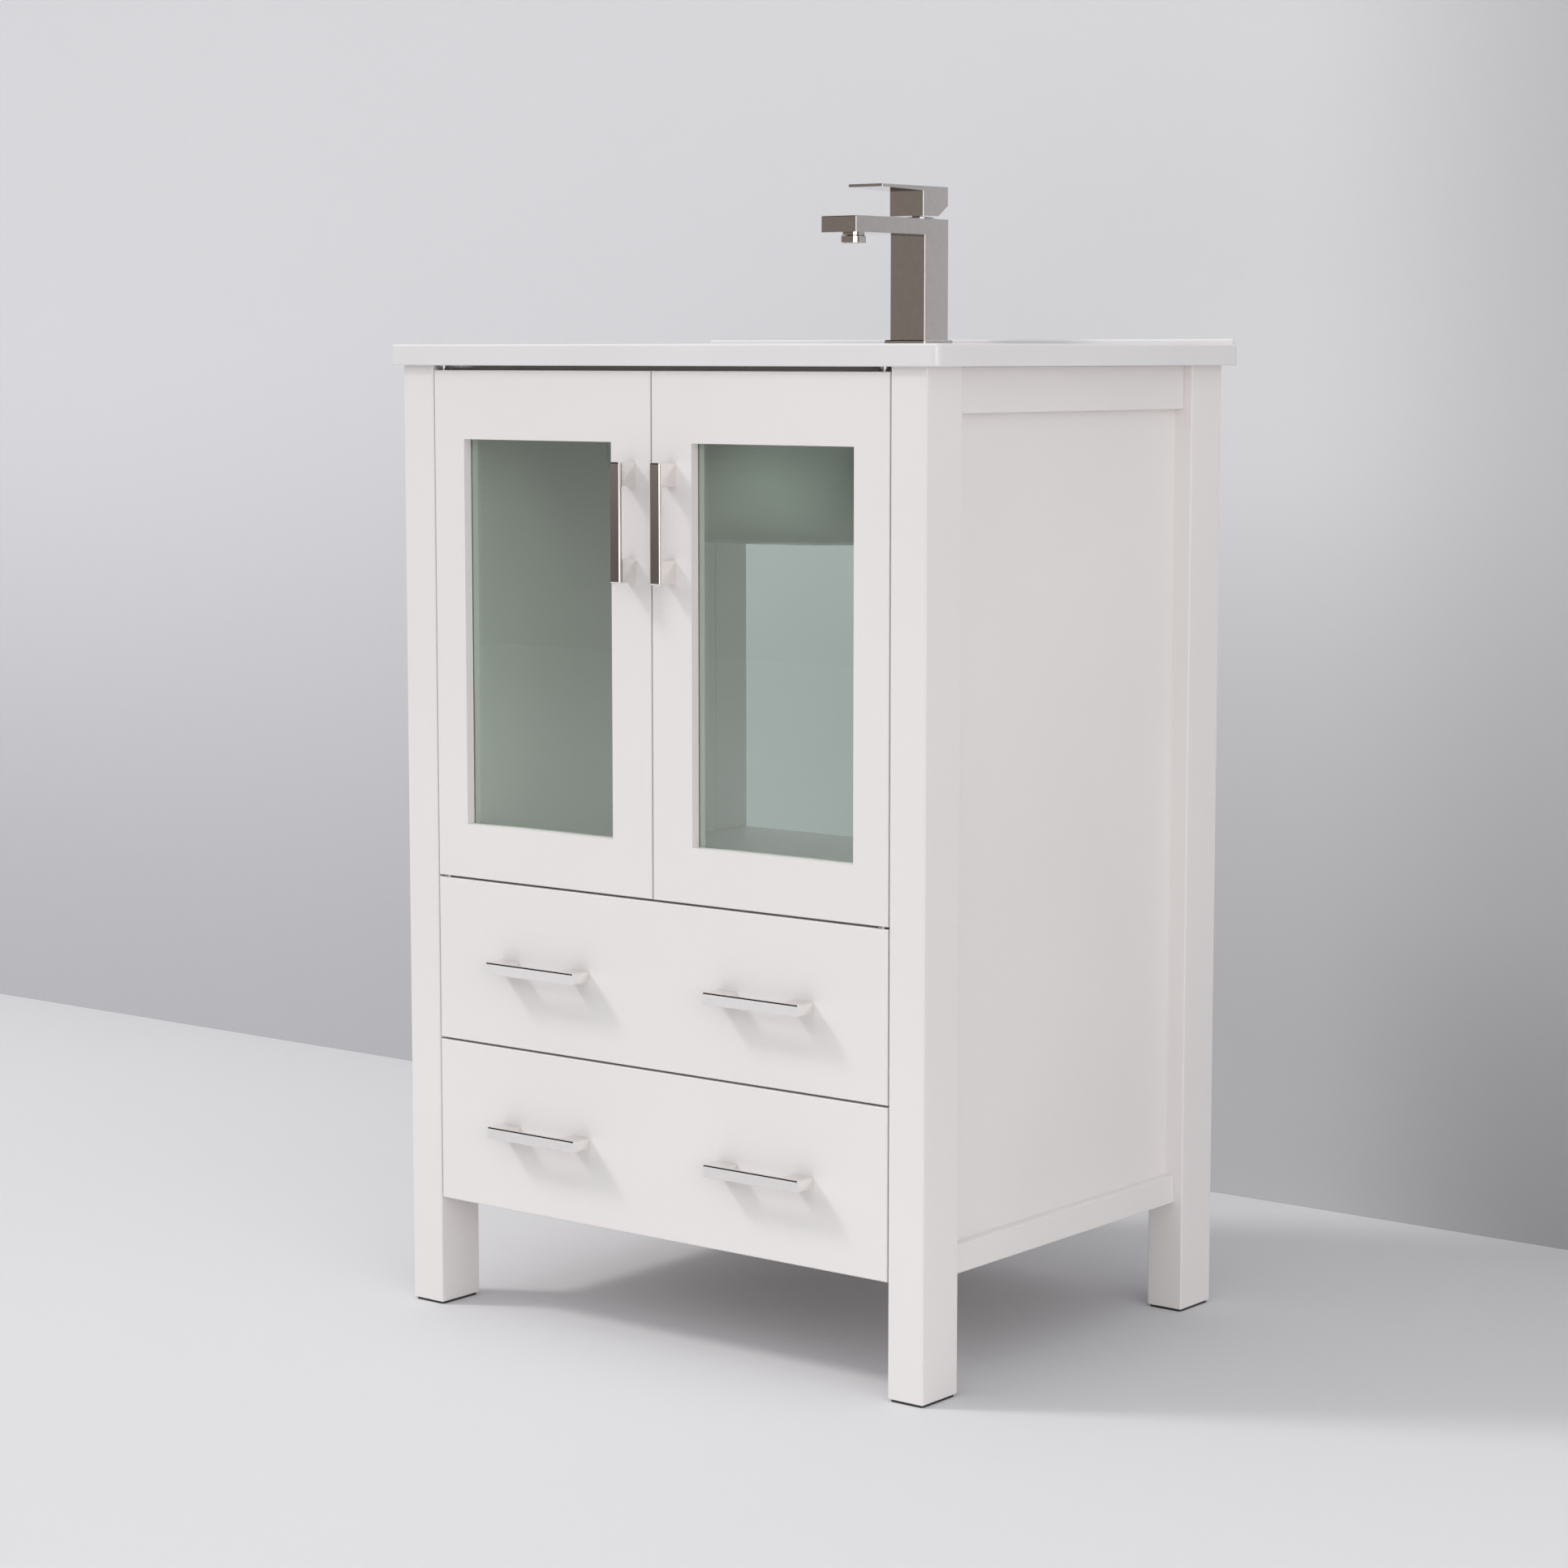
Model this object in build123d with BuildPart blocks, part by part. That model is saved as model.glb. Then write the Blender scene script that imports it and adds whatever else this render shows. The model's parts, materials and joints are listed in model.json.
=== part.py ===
"""Bathroom vanity cabinet: four legs, a glass-doored sink compartment, two drawers,
a ceramic top with an integral basin and a single-lever faucet.

Millimetres.  X runs to the cabinet's right, Y to its back, Z up.  The origin is on
the floor, under the middle of the whole object.
"""
import os
from build123d import *

# ---------------------------------------------------------------- driving dimensions
TOP_W = 610.0            # countertop: width, depth, thickness, height above the floor
TOP_D = 459.8
TOP_T = 18.7
TOP_Z = 877.8
TOP_CORNER = 7.0
OVER_FRONT = 4.7         # how far the countertop stands past the cabinet
OVER_SIDE = 13.2
OVER_BACK = 7.6

LEG_W = 36.3             # leg section, across and front to back
LEG_D = 49.5
PAD_T = 2.0              # glide under each leg

HANDLE_REACH = 22.1      # handle front face to door face
HANDLE_LONG = 104.0
HANDLE_WIDE = 10.9
HANDLE_BAR = 4.7
HANDLE_FOOT = 21.0

DRAWER_BASE_Z = 101.2    # lowest edge of the drawers and of the side rails
DRAWER_SEAM_Z = 249.7    # middle of the gap between the two drawers
DOOR_SEAM_Z = 399.15     # middle of the gap between the doors and the drawers
DOOR_TOP_Z = 855.0
SEAM = 2.0               # gap above and below each front
FRONT_CLEAR = 1.0        # gap behind the fronts
FLOOR_GAP = 0.5          # compartment floor below the doors' lower edge
SIDE_SEAM = 1.5          # gap between a front and a leg
MEETING_SEAM = 1.8       # gap between the two doors
FRONT_T = 20.0           # thickness of doors and drawer fronts

GLASS_X0 = 45.0          # window in a door, from the cabinet's middle
GLASS_X1 = 218.2
GLASS_Z0 = 448.9
GLASS_Z1 = 794.0
GLASS_RECESS = 8.9       # glass behind the door's front face
GLASS_T = 4.0
REBATE = 8.0             # width of the step that the glass sits on

RAIL_RECESS = 8.7        # side rail behind the leg's outer face
PANEL_RECESS = 17.7      # side panel behind the leg's outer face
SIDE_TOP_RAIL_Z = 820.7
SIDE_BASE_RAIL_Z = 126.0

BOARD = 16.0             # cabinet boards
BACK_RAIL_H = 70.0
THIN_PANEL = 9.0

BOWL_HALF_W = 175.0      # oval basin hollow, half width and half depth below its rim
BOWL_HALF_D = 130.0
BOWL_DEPTH = 165.0
BOWL_WALL = 10.0
BOWL_TAPER = 5.0
LIP_H = 4.8              # raised lip along the back edge of the top
LIP_D = 8.0
WASTE_R = 22.5
TAP_HOLE_R = 17.5

# ---------------------------------------------------------------- derived dimensions
FACE_Y = HANDLE_REACH - (HANDLE_REACH + TOP_D - OVER_FRONT) / 2
BODY_HALF = TOP_W / 2 - OVER_SIDE
BACK_Y = FACE_Y + TOP_D - OVER_FRONT - OVER_BACK
OPEN_HALF = BODY_HALF - LEG_W
TOP_UNDER = TOP_Z - TOP_T
TOP_Y = FACE_Y - OVER_FRONT + TOP_D / 2
INSIDE_Y = FACE_Y + FRONT_T + FRONT_CLEAR
LEG_BACK_Y = BACK_Y - LEG_D

FRONT_HALF = OPEN_HALF - SIDE_SEAM
DOOR_Z0 = DOOR_SEAM_Z + SEAM / 2
FLOOR_Z = DOOR_Z0 - FLOOR_GAP

UPPER_Z0 = DRAWER_SEAM_Z + SEAM / 2
UPPER_Z1 = DOOR_SEAM_Z - SEAM / 2
LOWER_Z0 = DRAWER_BASE_Z
LOWER_Z1 = DRAWER_SEAM_Z - SEAM / 2

BOWL_Y = FACE_Y + 188.0
FAUCET_Y = FACE_Y + 385.7

PIN_IN = 8.0             # door pivot from the door's outer edge
PIN_BACK = 4.0           # and from its front face
PIN_R = 1.75
PIN_FIT = 0.08
EDGE_EASE = 0.5          # chamfer on a board's edges
OVERLAP = 2.0            # how far joined shapes run into each other
PIVOT_X = FRONT_HALF - PIN_IN
PIVOT_Y = FACE_Y + PIN_BACK

os.makedirs("parts", exist_ok=True)


# ---------------------------------------------------------------- helpers
def save(piece, name):
    """Label a finished piece and write it to its own file."""
    piece.part.label = name
    export_step(piece.part, f"parts/{name}.step")


def add_board(x0, x1, y0, y1, z0, z1, mode=Mode.ADD):
    """Add a square-edged board between two corners to the part being built."""
    with BuildSketch(Plane.XY.offset(z0)) as outline:
        with Locations(((x0 + x1) / 2, (y0 + y1) / 2)):
            Rectangle(x1 - x0, y1 - y0)
    extrude(outline.sketch, amount=z1 - z0, mode=mode)


def board(x0, x1, y0, y1, z0, z1, ease=EDGE_EASE):
    """One board with its edges eased."""
    with BuildPart() as piece:
        add_board(x0, x1, y0, y1, z0, z1)
        chamfer(piece.edges(), ease)
    return piece


def span(a, b):
    """Two bounds in rising order."""
    return min(a, b), max(a, b)


def front_edges(piece):
    """Edges that lie on the foremost face."""
    return piece.faces().sort_by(Axis.Y)[0].edges()


# ---------------------------------------------------------------- legs and glides
LEG_SOFT = 1.5
LEG_FOOT_EASE = 0.8


def leg(x_side, y0):
    """A square-sectioned leg with softened long edges."""
    x0, x1 = span(x_side * OPEN_HALF, x_side * BODY_HALF)
    with BuildPart() as piece:
        add_board(x0, x1, y0, y0 + LEG_D, PAD_T, TOP_UNDER)
        fillet(piece.edges().filter_by(Axis.Z), LEG_SOFT)
        chamfer(piece.edges().group_by(Axis.Z)[0], LEG_FOOT_EASE)
    return piece


for side_name, x_side in (("left", -1), ("right", 1)):
    save(leg(x_side, FACE_Y), f"front_{side_name}_leg")
    save(leg(x_side, LEG_BACK_Y), f"back_{side_name}_leg")

LEG_SPAN_X = BODY_HALF + OPEN_HALF
LEG_SPAN_Y = BACK_Y - FACE_Y - LEG_D
LEG_MID_Y = (FACE_Y + BACK_Y) / 2
PAD_INSET = 1.5
PAD_CORNER = 3.0

with BuildPart() as foot_pads:
    with BuildSketch(Plane.XY):
        with Locations((0, LEG_MID_Y)):
            with GridLocations(LEG_SPAN_X, LEG_SPAN_Y, 2, 2):
                RectangleRounded(LEG_W - 2 * PAD_INSET, LEG_D - 2 * PAD_INSET, PAD_CORNER)
    extrude(amount=PAD_T)
save(foot_pads, "foot_pads")


# ---------------------------------------------------------------- drawer layout
BOX_LIFT = 20.0          # drawer box above the lower edge of its front
BOX_H = 100.0
BOX_D = 400.0
BOX_WALL = 12.0
RUNNER_GAP = 12.7        # between a cabinet side and a drawer side
RUNNER_H = 27.0
RUNNER_LIFT = 30.0       # middle of the runner above the bottom of the drawer box
RUNNER_D = 400.0
RUNNER_CLEAR = 2.0       # runner behind the drawer front
RUNNER_Y0 = FACE_Y + FRONT_T + RUNNER_CLEAR
RUNNER_SCREWS_Y = (FACE_Y + 75.0, FACE_Y + 375.0)
RUNNER_SCREW_R = 1.8
RUNNER_SCREW_LONG = 11.0
SCREW_FIT = 0.05         # pilot hole past the screw
PILOT_SPARE = 1.0        # pilot hole deeper than the screw is long
DRAWERS = (("upper_drawer", UPPER_Z0, UPPER_Z1), ("lower_drawer", LOWER_Z0, LOWER_Z1))


def runner_z(front_z0):
    """Height of a drawer's runners from the lower edge of its front."""
    return front_z0 + BOX_LIFT + RUNNER_LIFT


# ---------------------------------------------------------------- cabinet sides
def side_board(x_side, recess, thick, z0, z1, ease):
    """A board between a front and a back leg, set in from the legs' outer faces."""
    outer = x_side * (BODY_HALF - recess)
    x0, x1 = span(outer, outer - x_side * thick)
    return board(x0, x1, FACE_Y + LEG_D, LEG_BACK_Y, z0, z1, ease)


RAIL_T = PANEL_RECESS - RAIL_RECESS
RAIL_EASE = 0.6

for side_name, x_side in (("left", -1), ("right", 1)):
    with BuildPart() as panel:
        x0, x1 = span(x_side * (BODY_HALF - PANEL_RECESS), x_side * OPEN_HALF)
        add_board(x0, x1, FACE_Y + LEG_D, LEG_BACK_Y, DRAWER_BASE_Z, TOP_UNDER)
        for _, front_z0, _ in DRAWERS:
            for screw_y in RUNNER_SCREWS_Y:
                screw_at = (x_side * OPEN_HALF, screw_y, runner_z(front_z0))
                with Locations(Plane(screw_at, (0, 1, 0), (-x_side, 0, 0))):
                    Hole(RUNNER_SCREW_R + SCREW_FIT, RUNNER_SCREW_LONG + PILOT_SPARE)
    save(panel, f"{side_name}_side_panel")
    top_rail = side_board(x_side, RAIL_RECESS, RAIL_T, SIDE_TOP_RAIL_Z, TOP_UNDER, RAIL_EASE)
    save(top_rail, f"{side_name}_side_top_rail")
    base_rail = side_board(x_side, RAIL_RECESS, RAIL_T, DRAWER_BASE_Z, SIDE_BASE_RAIL_Z, RAIL_EASE)
    save(base_rail, f"{side_name}_side_bottom_rail")

# ---------------------------------------------------------------- cabinet cross members
HINGE_PLATE_W = 27.0     # hinge plate, widest part
TOP_PLATE_T = 1.9
FLOOR_PLATE_T = 1.2
PLATE_INSET = 0.5        # plate in from the cabinet side
PLATE_X = OPEN_HALF - PLATE_INSET - HINGE_PLATE_W / 2
PLATE_FIT = 0.3
SCREW_R = 2.0
SCREW_HEAD_R = 3.2
SCREW_LONG = 12.0
SCREW_APART = 15.0
PLATE_SCREW_IN = 31.0    # screws behind the doors' front face
PLATE_PAST_SCREW = 7.0
SCREW_Y = FACE_Y + PLATE_SCREW_IN
PLATE_BACK = SCREW_Y + PLATE_PAST_SCREW

FRONT_RAIL_T = 18.0
FRONT_RAIL_H = 40.0
FRONT_RAIL_Z = TOP_UNDER - FRONT_RAIL_H
FRONT_RAIL_Y = INSIDE_Y + FRONT_CLEAR


def plate_notch(z0, z1):
    """Cut the two recesses that take a pair of hinge plates."""
    for x_side in (-1, 1):
        x0, x1 = span(x_side * OPEN_HALF, x_side * (PLATE_X - HINGE_PLATE_W / 2 - PLATE_FIT))
        add_board(x0, x1, FACE_Y, PLATE_BACK + PLATE_FIT, z0, z1, Mode.SUBTRACT)


def plate_screw_holes(z_head, depth):
    """Drill the pilot holes for the hinge-plate screws, downwards from z_head."""
    with BuildSketch(Plane.XY.offset(z_head)) as holes:
        for x_side in (-1, 1):
            with Locations((x_side * PLATE_X, SCREW_Y)):
                with GridLocations(SCREW_APART, 1, 2, 1):
                    Circle(SCREW_R + SCREW_FIT)
    extrude(holes.sketch, amount=-depth, mode=Mode.SUBTRACT)


with BuildPart() as front_top_rail:
    add_board(-OPEN_HALF, OPEN_HALF, FRONT_RAIL_Y, FRONT_RAIL_Y + FRONT_RAIL_T, FRONT_RAIL_Z, TOP_UNDER)
    plate_notch(TOP_UNDER - TOP_PLATE_T, TOP_UNDER)
    plate_screw_holes(TOP_UNDER, SCREW_LONG + PILOT_SPARE)
save(front_top_rail, "front_top_rail")

BACK_INSET = 1.0         # boards stop short of the legs' back faces
BOTTOM_LIFT = 0.5

with BuildPart() as compartment_floor:
    add_board(-OPEN_HALF, OPEN_HALF, INSIDE_Y, BACK_Y - BACK_INSET, FLOOR_Z - BOARD, FLOOR_Z)
    plate_notch(FLOOR_Z - FLOOR_PLATE_T, FLOOR_Z)
    plate_screw_holes(FLOOR_Z, SCREW_LONG + PILOT_SPARE)
save(compartment_floor, "compartment_floor")

CABINET_BOTTOM_T = 12.0
cabinet_bottom = board(
    -OPEN_HALF, OPEN_HALF, INSIDE_Y, BACK_Y - BACK_INSET,
    DRAWER_BASE_Z + BOTTOM_LIFT, DRAWER_BASE_Z + CABINET_BOTTOM_T,
)
save(cabinet_bottom, "cabinet_bottom")

WALL_SCREW_APART = 406.4
WALL_SCREW_R = 2.75
WALL_SCREW_HEAD_R = 5.5
BACK_RAIL_T = 18.0

with BuildPart() as back_top_rail:
    add_board(-OPEN_HALF, OPEN_HALF, BACK_Y - BACK_RAIL_T, BACK_Y, TOP_UNDER - BACK_RAIL_H, TOP_UNDER)
    with Locations(Plane((0, BACK_Y - BACK_RAIL_T, TOP_UNDER - BACK_RAIL_H / 2), (1, 0, 0), (0, -1, 0))):
        with GridLocations(WALL_SCREW_APART, 1, 2, 1):
            CounterSinkHole(WALL_SCREW_R, WALL_SCREW_HEAD_R)
save(back_top_rail, "back_top_rail")

lower_back_panel = board(
    -OPEN_HALF, OPEN_HALF, BACK_Y - BACK_INSET - THIN_PANEL, BACK_Y - BACK_INSET,
    DRAWER_BASE_Z + CABINET_BOTTOM_T, FLOOR_Z - BOARD,
)
save(lower_back_panel, "lower_back_panel")

BLOCK_H = 30.0           # corner blocks: height, and legs across and along the cabinet
BLOCK_W = 18.0
BLOCK_D = 48.0

with BuildPart() as corner_blocks:
    for x_side in (-1, 1):
        for y_wall, y_side in ((LEG_BACK_Y, -1), (FACE_Y + LEG_D, 1)):
            corner = x_side * OPEN_HALF
            with BuildSketch(Plane.XY.offset(TOP_UNDER - BLOCK_H)):
                with BuildLine():
                    Polyline(
                        (corner, y_wall),
                        (corner - x_side * BLOCK_W, y_wall),
                        (corner, y_wall + y_side * BLOCK_D),
                        close=True,
                    )
                make_face()
            extrude(amount=BLOCK_H)
save(corner_blocks, "corner_blocks")

# ---------------------------------------------------------------- ceramic top and basin
BOWL_FLOOR_R = 65.0
BOWL_RIM_R = 15.0
TOP_EDGE_R = 2.2
LIP_INSET = 2.0
LIP_CORNER = 3.0
LIP_EDGE_R = 2.0
OVERFLOW_R = 11.0
OVERFLOW_DEPTH = 10.0
OVERFLOW_PAST = 1.0      # bottom of the overflow recess behind the hollow's widest line
OVERFLOW_DROP = 42.0
OVERFLOW_Z = TOP_Z - OVERFLOW_DROP
BOWL_FLOOR_Z = TOP_Z - BOWL_DEPTH
UNDER_DEPTH = BOWL_DEPTH + BOWL_WALL - TOP_T
BOWL_BACK_Y = BOWL_Y + BOWL_HALF_D
EDGE_FIND = 0.1          # how near a height an edge must lie to be picked

with BuildPart() as countertop_sink:
    with BuildSketch(Plane.XY.offset(TOP_UNDER)):
        with Locations((0, TOP_Y)):
            RectangleRounded(TOP_W, TOP_D, TOP_CORNER)
    extrude(amount=TOP_T)
    fillet(countertop_sink.edges().group_by(Axis.Z)[-1], TOP_EDGE_R)
    fillet(countertop_sink.edges().group_by(Axis.Z)[0], TOP_EDGE_R / 2)

    # lip along the back edge
    with BuildSketch(Plane.XY.offset(TOP_Z - OVERLAP)):
        with Locations((0, TOP_Y + TOP_D / 2 - LIP_INSET - LIP_D / 2)):
            RectangleRounded(TOP_W - 2 * TOP_EDGE_R, LIP_D, LIP_CORNER)
    extrude(amount=LIP_H + OVERLAP)
    fillet(countertop_sink.edges().group_by(Axis.Z)[-1], LIP_EDGE_R)

    # underside of the basin
    with BuildSketch(Plane.XY.offset(TOP_UNDER + OVERLAP)):
        with Locations((0, BOWL_Y)):
            Ellipse(BOWL_HALF_W + BOWL_WALL, BOWL_HALF_D + BOWL_WALL)
    extrude(amount=-(UNDER_DEPTH + OVERLAP), taper=BOWL_TAPER)
    fillet(countertop_sink.edges().group_by(Axis.Z)[0], BOWL_FLOOR_R + BOWL_WALL)

    # basin hollow
    with BuildPart(mode=Mode.PRIVATE) as hollow:
        with BuildSketch(Plane.XY.offset(TOP_Z)):
            with Locations((0, BOWL_Y)):
                Ellipse(BOWL_HALF_W, BOWL_HALF_D)
        extrude(amount=-BOWL_DEPTH, taper=BOWL_TAPER)
        fillet(hollow.edges().group_by(Axis.Z)[0], BOWL_FLOOR_R)
    add(hollow.part, mode=Mode.SUBTRACT)
    rim = countertop_sink.edges().filter_by_position(Axis.Z, TOP_Z - EDGE_FIND, TOP_Z + EDGE_FIND)
    rim = rim.filter_by_position(Axis.X, -BOWL_HALF_W, BOWL_HALF_W)
    rim = rim.filter_by_position(Axis.Y, BOWL_Y - BOWL_HALF_D, BOWL_Y + BOWL_HALF_D)
    fillet(rim, BOWL_RIM_R)

    # waste hole, faucet hole and overflow recess
    with BuildSketch(Plane.XY.offset(BOWL_FLOOR_Z - 2 * BOWL_WALL)):
        with Locations((0, BOWL_Y)):
            Circle(WASTE_R)
    extrude(amount=4 * BOWL_WALL, mode=Mode.SUBTRACT)
    with BuildSketch(Plane.XY.offset(TOP_UNDER - OVERLAP)):
        with Locations((0, FAUCET_Y)):
            Circle(TAP_HOLE_R)
    extrude(amount=TOP_T + 2 * OVERLAP, mode=Mode.SUBTRACT)
    with BuildSketch(Plane.XZ.offset(-BOWL_BACK_Y - OVERFLOW_PAST)):
        with Locations((0, OVERFLOW_Z)):
            Circle(OVERFLOW_R)
    extrude(amount=OVERFLOW_DEPTH, mode=Mode.SUBTRACT)
save(countertop_sink, "countertop_sink")


# ---------------------------------------------------------------- door hinge plates
PIN_LONG = 14.0          # length of a pivot pin inside a door
PIN_ROOT = 0.2           # pin into its plate
NOSE_R = 3.6
PLATE_Y0 = INSIDE_Y + FRONT_CLEAR
NOSE_Y1 = PLATE_Y0 + OVERLAP


def hinge_plate(x_side, z0, thick, head_z, pin_z0, pin_z1):
    """A screwed plate with a nose that carries a pivot pin over or under a door."""
    with BuildPart() as piece:
        with BuildSketch(Plane.XY.offset(z0)):
            with Locations((x_side * PLATE_X, (PLATE_Y0 + PLATE_BACK) / 2)):
                Rectangle(HINGE_PLATE_W, PLATE_BACK - PLATE_Y0)
            with Locations((x_side * PIVOT_X, (PIVOT_Y + NOSE_Y1) / 2)):
                Rectangle(2 * NOSE_R, NOSE_Y1 - PIVOT_Y)
            with Locations((x_side * PIVOT_X, PIVOT_Y)):
                Circle(NOSE_R)
        extrude(amount=thick)
        with BuildSketch(Plane.XY.offset(pin_z0)):
            with Locations((x_side * PIVOT_X, PIVOT_Y)):
                Circle(PIN_R)
        extrude(amount=pin_z1 - pin_z0)
        with Locations(Plane((x_side * PLATE_X, SCREW_Y, head_z))):
            with GridLocations(SCREW_APART, 1, 2, 1):
                CounterSinkHole(SCREW_R + SCREW_FIT, SCREW_HEAD_R + SCREW_FIT, counter_sink_angle=90)
    return piece


with BuildPart() as hinge_plates:
    for x_side in (-1, 1):
        upper = hinge_plate(
            x_side, TOP_UNDER - TOP_PLATE_T, TOP_PLATE_T, TOP_UNDER,
            DOOR_TOP_Z - PIN_LONG, TOP_UNDER - TOP_PLATE_T + PIN_ROOT,
        )
        lower = hinge_plate(
            x_side, FLOOR_Z - FLOOR_PLATE_T, FLOOR_PLATE_T, FLOOR_Z,
            FLOOR_Z - PIN_ROOT, DOOR_Z0 + PIN_LONG,
        )
        add(upper.part)
        add(lower.part)
save(hinge_plates, "hinge_plates")

with BuildPart() as hinge_plate_screws:
    for head_z in (TOP_UNDER, FLOOR_Z):
        for x_side in (-1, 1):
            with BuildSketch(Plane((x_side * PLATE_X, SCREW_Y, head_z))) as heads:
                with GridLocations(SCREW_APART, 1, 2, 1):
                    Circle(SCREW_HEAD_R)
            extrude(amount=-(SCREW_HEAD_R - SCREW_R), taper=45)
            with BuildSketch(Plane((x_side * PLATE_X, SCREW_Y, head_z))) as shanks:
                with GridLocations(SCREW_APART, 1, 2, 1):
                    Circle(SCREW_R)
            extrude(amount=-SCREW_LONG)
save(hinge_plate_screws, "hinge_plate_screws")

# ---------------------------------------------------------------- door catches
CATCH_X0 = 8.0
CATCH_X1 = 36.0
CATCH_D = 15.0
CATCH_H = 16.0
CATCH_EASE = 1.0
CATCH_GAP = 0.4          # between a catch and the plate it pulls
STRIKE_T = 1.2
STRIKE_INSET = 4.0
STRIKE_INSET_Z = 1.5
STRIKE_EASE = 0.2

with BuildPart() as door_catches:
    for x_side in (-1, 1):
        x0, x1 = span(x_side * CATCH_X0, x_side * CATCH_X1)
        catch_y0 = FACE_Y + FRONT_T + STRIKE_T + CATCH_GAP
        add_board(x0, x1, catch_y0, catch_y0 + CATCH_D, FRONT_RAIL_Z - CATCH_H, FRONT_RAIL_Z)
    chamfer(door_catches.edges().group_by(Axis.Z)[0], CATCH_EASE)
save(door_catches, "door_catches")


# ---------------------------------------------------------------- pulls
PULL_SOFT = 1.5
PULL_FLAT = 0.1          # edges nearer the front than this stay sharp


def add_pull(plane):
    """Add a square bar pull; the plane's x runs along the bar and its y into the front."""
    half = HANDLE_LONG / 2
    foot = half - HANDLE_FOOT
    with BuildSketch(plane) as profile:
        with BuildLine():
            Polyline(
                (-half, 0), (-half, -HANDLE_REACH), (half, -HANDLE_REACH), (half, 0),
                (foot, 0), (foot, HANDLE_BAR - HANDLE_REACH), (-foot, HANDLE_BAR - HANDLE_REACH), (-foot, 0),
                close=True,
            )
        make_face()
    extrude(profile.sketch, amount=HANDLE_WIDE / 2, both=True)


def soften_pull(piece):
    """Round the edges of pulls that don't lie on the front they are screwed to."""
    outer = [edge for edge in piece.edges() if edge.center().Y < FACE_Y - PULL_FLAT]
    fillet(outer, PULL_SOFT)


# ---------------------------------------------------------------- doors
PIN_HOLE = PIN_LONG + PILOT_SPARE
HANDLE_X = 22.5
DOOR_HANDLE_Z = 725.9
GLASS_PLAY = 0.5
GLASS_EASE = 0.3
BEAD_W = 7.4
BEAD_FIT = 0.1
BEAD_SINK = 0.5          # beads below the door's back face
FRONT_SOFT = 1.0


def door_board(x_side, near, far, z0, z1):
    """Add the front layer of a door member, given in distance from the middle."""
    x0, x1 = span(x_side * near, x_side * far)
    add_board(x0, x1, FACE_Y, FACE_Y + GLASS_RECESS, z0, z1)


def door_backing(x_side, near, far, z0, z1):
    """Add the layer behind the glass line, narrower by the glass rebate."""
    x0, x1 = span(x_side * near, x_side * far)
    add_board(x0, x1, FACE_Y + GLASS_RECESS, FACE_Y + FRONT_T, z0, z1)


def stile(x_side, near, far, back_near, back_far, window_x):
    """A full-height door member, rebated along the window and softened elsewhere."""
    with BuildPart() as piece:
        door_board(x_side, near, far, DOOR_Z0, DOOR_TOP_Z)
        door_backing(x_side, back_near, back_far, DOOR_Z0, DOOR_TOP_Z)
        soft = [edge for edge in front_edges(piece) if abs(abs(edge.center().X) - window_x) > FRONT_SOFT]
        fillet(soft, FRONT_SOFT)
    return piece


def rail(x_side, z0, z1, back_z0, back_z1, soft_index):
    """A door member between the stiles, rebated along the window."""
    with BuildPart() as piece:
        door_board(x_side, GLASS_X0, GLASS_X1, z0, z1)
        door_backing(x_side, GLASS_X0 - REBATE, GLASS_X1 + REBATE, back_z0, back_z1)
        fillet(front_edges(piece).sort_by(Axis.Z)[soft_index], FRONT_SOFT)
    return piece


def glass_beads(x_side):
    """Four strips that hold the glass in its rebate from behind."""
    x_in, x_out = GLASS_X0 - REBATE + BEAD_FIT, GLASS_X1 + REBATE - BEAD_FIT
    z_in, z_out = GLASS_Z0 - REBATE + BEAD_FIT, GLASS_Z1 + REBATE - BEAD_FIT
    y0, y1 = FACE_Y + GLASS_RECESS + GLASS_T, FACE_Y + FRONT_T - BEAD_SINK
    inner_lo, inner_hi = x_in + BEAD_W, x_out - BEAD_W
    strips = (
        (x_in, inner_lo, z_in, z_out),
        (inner_hi, x_out, z_in, z_out),
        (inner_lo + BEAD_FIT, inner_hi - BEAD_FIT, z_in, z_in + BEAD_W),
        (inner_lo + BEAD_FIT, inner_hi - BEAD_FIT, z_out - BEAD_W, z_out),
    )
    with BuildPart() as piece:
        for near, far, z0, z1 in strips:
            x0, x1 = span(x_side * near, x_side * far)
            add_board(x0, x1, y0, y1, z0, z1)
    return piece


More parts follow.
